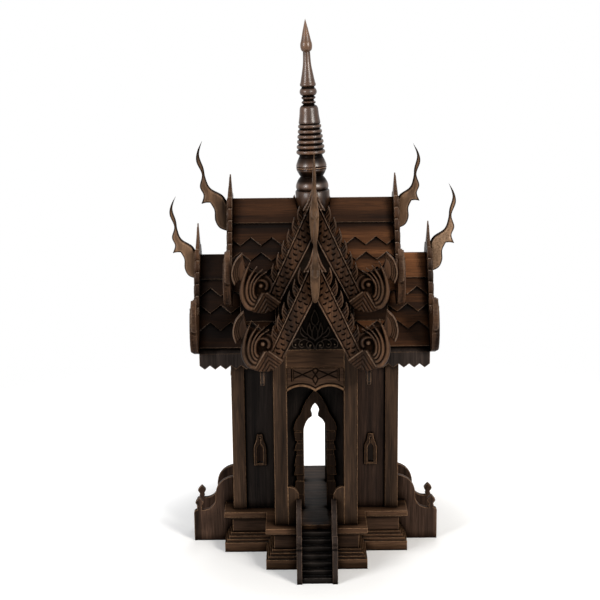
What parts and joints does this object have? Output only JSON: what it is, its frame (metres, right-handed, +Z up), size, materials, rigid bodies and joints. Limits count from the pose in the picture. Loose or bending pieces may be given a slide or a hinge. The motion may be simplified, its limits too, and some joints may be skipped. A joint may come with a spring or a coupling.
{
  "type": "carved wooden spirit house",
  "caption": "Carved dark teak spirit house with stepped plinth, porches with stairs on each side, tiered cross roof, serpent bargeboards, horn finials and a turned spire.",
  "frame": {"origin": "middle of the underside of the plinth, on the surface it stands on", "axes": "+Z up along the building, -Y out of the front porch, +X to the right porch"},
  "size_m": [0.4872, 0.4888, 0.9028],
  "materials": {
    "dark": "dark stained teak, satin",
    "teak": "stained teak, satin",
    "worn": "stained teak with worn edges, satin"
  },
  "bodies": {
    "root": {"plinth_base": "teak", "plinth_waist": "dark", "plinth_cap": "worn", "front_stair": "dark", "right_stair": "dark", "back_stair": "dark", "left_stair": "dark", "front_strings": "teak", "right_strings": "teak", "back_strings": "teak", "left_strings": "teak", "porch_posts": "teak", "sill_panels": "dark", "front_left_wall": "dark", "front_right_wall": "dark", "back_right_wall": "dark", "back_left_wall": "dark", "niche_frames": "worn", "front_inner_wall": "dark", "right_inner_wall": "dark", "back_inner_wall": "dark", "left_inner_wall": "dark", "door_frames": "teak", "lintels": "teak", "pediments": "dark", "front_lower_roof": "teak", "right_lower_roof": "teak", "back_lower_roof": "teak", "left_lower_roof": "teak", "front_upper_roof": "teak", "right_upper_roof": "teak", "back_upper_roof": "teak", "left_upper_roof": "teak", "upper_gable_panels": "dark", "eaves_boards": "dark", "front_lower_bargeboards": "worn", "right_lower_bargeboards": "worn", "back_lower_bargeboards": "worn", "left_lower_bargeboards": "worn", "front_upper_bargeboards": "worn", "right_upper_bargeboards": "worn", "back_upper_bargeboards": "worn", "left_upper_bargeboards": "worn", "lower_finials": "worn", "upper_finials": "worn", "spire": "worn"}
  },
  "joints": []
}
